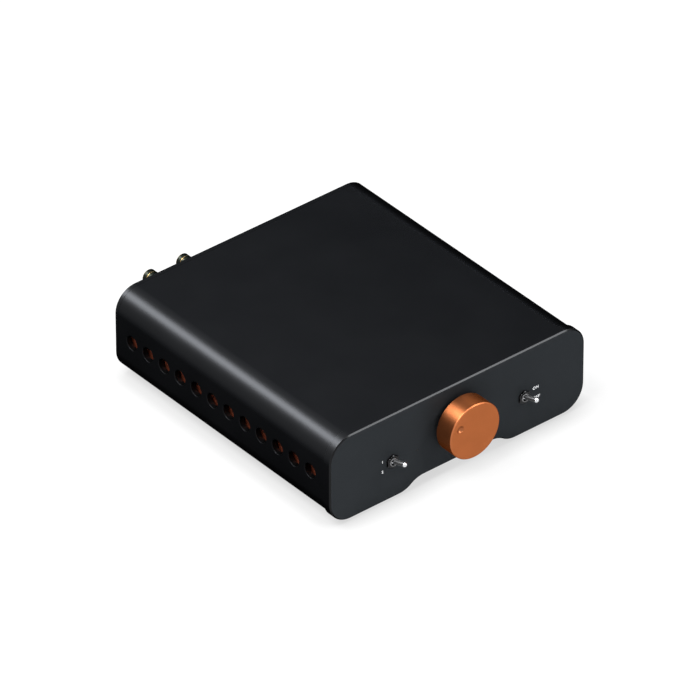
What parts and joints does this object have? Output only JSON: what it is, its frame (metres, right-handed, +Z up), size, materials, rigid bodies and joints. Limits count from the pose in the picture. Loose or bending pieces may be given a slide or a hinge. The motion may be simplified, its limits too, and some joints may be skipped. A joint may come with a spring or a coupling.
{
  "type": "stereo power amplifier",
  "caption": "Compact desktop stereo power amplifier: black extruded case with vented sides and foot rails, orange volume knob, toggle switches, rear sockets and speaker terminals.",
  "frame": {"origin": "centre of the overall box, on the surface under the rubber feet", "axes": "+X to the right seen from the front, +Y from the front to the back, +Z up"},
  "size_m": [0.168, 0.2044, 0.053],
  "materials": {
    "black_anodised": "fine bead-blasted, black anodised",
    "orange_anodised": "turned, copper-orange anodised",
    "orange_heatsink": "extruded, orange anodised",
    "bare_aluminium": "bare sheet",
    "chrome": "polished",
    "steel": "plated",
    "black_screws": "black zinc",
    "gold": "gold plated",
    "copper": "enamelled wire",
    "rubber": "moulded",
    "black_plastic": "moulded",
    "red_plastic": "moulded",
    "white_plastic": "moulded",
    "circuit_board": "solder mask",
    "capacitor_sleeve": "shrink sleeve",
    "clear_plastic": "polished",
    "lamp_plastic": "tinted"
  },
  "bodies": {
    "case": {"front_panel": "black_anodised", "case_sleeve": "black_anodised", "rear_panel": "black_anodised", "chassis_tray": "bare_aluminium", "rear_panel_screws": "black_screws", "front_panel_screws": "steel", "rubber_feet": "rubber", "left_heatsink": "orange_heatsink", "right_heatsink": "orange_heatsink", "left_power_transistors": "black_plastic", "right_power_transistors": "black_plastic", "heatsink_screws": "steel", "main_board": "circuit_board", "board_standoffs": "gold", "board_screws": "steel", "supply_capacitors": "capacitor_sleeve", "output_inductors": "copper", "film_capacitors": "red_plastic", "speaker_relays": "black_plastic", "modulator_chips": "black_plastic", "control_board": "circuit_board", "link_header": "black_plastic", "volume_control_body": "steel", "volume_washer": "steel", "volume_nut": "steel", "input_switch_body": "chrome", "input_switch_nut": "chrome", "power_switch_body": "chrome", "power_switch_nut": "chrome", "light_pipe": "clear_plastic", "status_lamp": "lamp_plastic", "phono_block": "black_plastic", "left_phono_shell": "gold", "right_phono_shell": "gold", "left_phono_insulator": "white_plastic", "right_phono_insulator": "red_plastic", "phono_contacts": "gold", "line_socket": "black_plastic", "line_socket_nut": "steel", "power_inlet": "black_plastic", "power_inlet_pin": "steel", "terminal_studs": "gold", "terminal_insulators": "black_plastic", "terminal_nuts": "steel", "terminal_tags": "gold"},
    "volume_control": {"volume_knob": "orange_anodised", "knob_set_screw": "steel", "volume_shaft": "steel"},
    "input_lever": {"input_switch_lever": "chrome"},
    "power_lever": {"power_switch_lever": "chrome"},
    "clamp_washer_1": {"terminal_washer_1": "gold"},
    "clamp_cap_1": {"terminal_cap_1": "black_plastic"},
    "clamp_washer_2": {"terminal_washer_2": "gold"},
    "clamp_cap_2": {"terminal_cap_2": "red_plastic"},
    "clamp_washer_3": {"terminal_washer_3": "gold"},
    "clamp_cap_3": {"terminal_cap_3": "black_plastic"},
    "clamp_washer_4": {"terminal_washer_4": "gold"},
    "clamp_cap_4": {"terminal_cap_4": "red_plastic"}
  },
  "joints": [
    {"name": "volume_turn", "type": "hinge", "parent": "case", "child": "volume_control", "pos_m": [0, -0.089, 0.0301], "axis": [0, 1, 0], "range_deg": [-88.5, 211.5]},
    {"name": "input_switch_tip", "type": "hinge", "parent": "case", "child": "input_lever", "pos_m": [-0.0435, -0.0885, 0.0243], "axis": [1, 0, 0], "range_deg": [0, 36]},
    {"name": "power_switch_tip", "type": "hinge", "parent": "case", "child": "power_lever", "pos_m": [0.0435, -0.0885, 0.0243], "axis": [1, 0, 0], "range_deg": [0, 36]},
    {"name": "cap_1_travel", "type": "slide", "parent": "case", "child": "clamp_washer_1", "axis": [0, 1, 0], "range_m": [0, 0.003]},
    {"name": "cap_1_turn", "type": "hinge", "parent": "clamp_washer_1", "child": "clamp_cap_1", "pos_m": [0.01, 0.091, 0.0252], "axis": [0, 1, 0], "range_deg": [0, 1080]},
    {"name": "cap_2_travel", "type": "slide", "parent": "case", "child": "clamp_washer_2", "axis": [0, 1, 0], "range_m": [0, 0.003]},
    {"name": "cap_2_turn", "type": "hinge", "parent": "clamp_washer_2", "child": "clamp_cap_2", "pos_m": [0.029, 0.091, 0.0252], "axis": [0, 1, 0], "range_deg": [0, 1080]},
    {"name": "cap_3_travel", "type": "slide", "parent": "case", "child": "clamp_washer_3", "axis": [0, 1, 0], "range_m": [0, 0.003]},
    {"name": "cap_3_turn", "type": "hinge", "parent": "clamp_washer_3", "child": "clamp_cap_3", "pos_m": [0.048, 0.091, 0.0252], "axis": [0, 1, 0], "range_deg": [0, 1080]},
    {"name": "cap_4_travel", "type": "slide", "parent": "case", "child": "clamp_washer_4", "axis": [0, 1, 0], "range_m": [0, 0.003]},
    {"name": "cap_4_turn", "type": "hinge", "parent": "clamp_washer_4", "child": "clamp_cap_4", "pos_m": [0.067, 0.091, 0.0252], "axis": [0, 1, 0], "range_deg": [0, 1080]}
  ],
  "couplings": [
    {"joint": "cap_1_turn", "follows": "cap_1_travel", "rad_per_m": 6283.2},
    {"joint": "cap_2_turn", "follows": "cap_2_travel", "rad_per_m": 6283.2},
    {"joint": "cap_3_turn", "follows": "cap_3_travel", "rad_per_m": 6283.2},
    {"joint": "cap_4_turn", "follows": "cap_4_travel", "rad_per_m": 6283.2}
  ]
}
